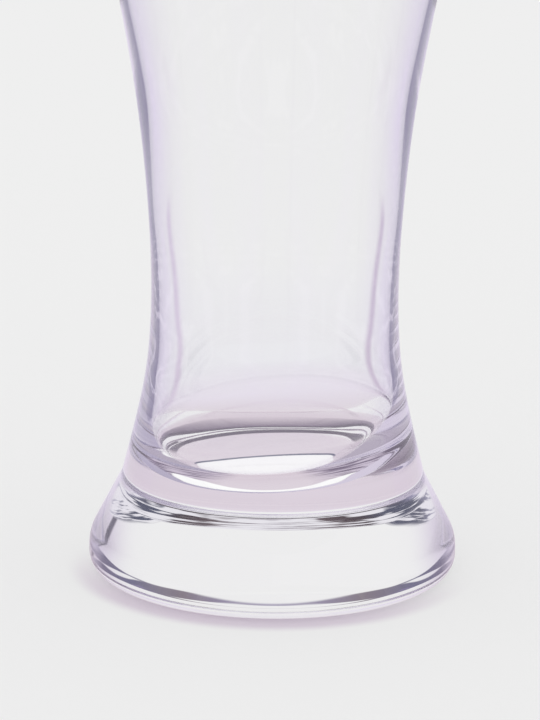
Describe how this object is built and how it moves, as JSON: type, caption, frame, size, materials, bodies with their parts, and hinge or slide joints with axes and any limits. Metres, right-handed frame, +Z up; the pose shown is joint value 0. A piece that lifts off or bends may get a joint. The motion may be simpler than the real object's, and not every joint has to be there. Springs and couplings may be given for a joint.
{
  "type": "weizen glass",
  "caption": "Tall clear wheat-beer glass with a narrow waist, a gently swelling bowl and a thick solid foot.",
  "frame": {"origin": "middle of the flat underside of the foot, at table level", "axes": "+Z up along the axis of the glass, towards the mouth; X and Y lie in the table and are alike"},
  "size_m": [0.0824, 0.0824, 0.24],
  "materials": {
    "clear_glass": "clear, fire-polished"
  },
  "bodies": {
    "root": {"foot": "clear_glass", "bowl": "clear_glass"}
  },
  "joints": []
}
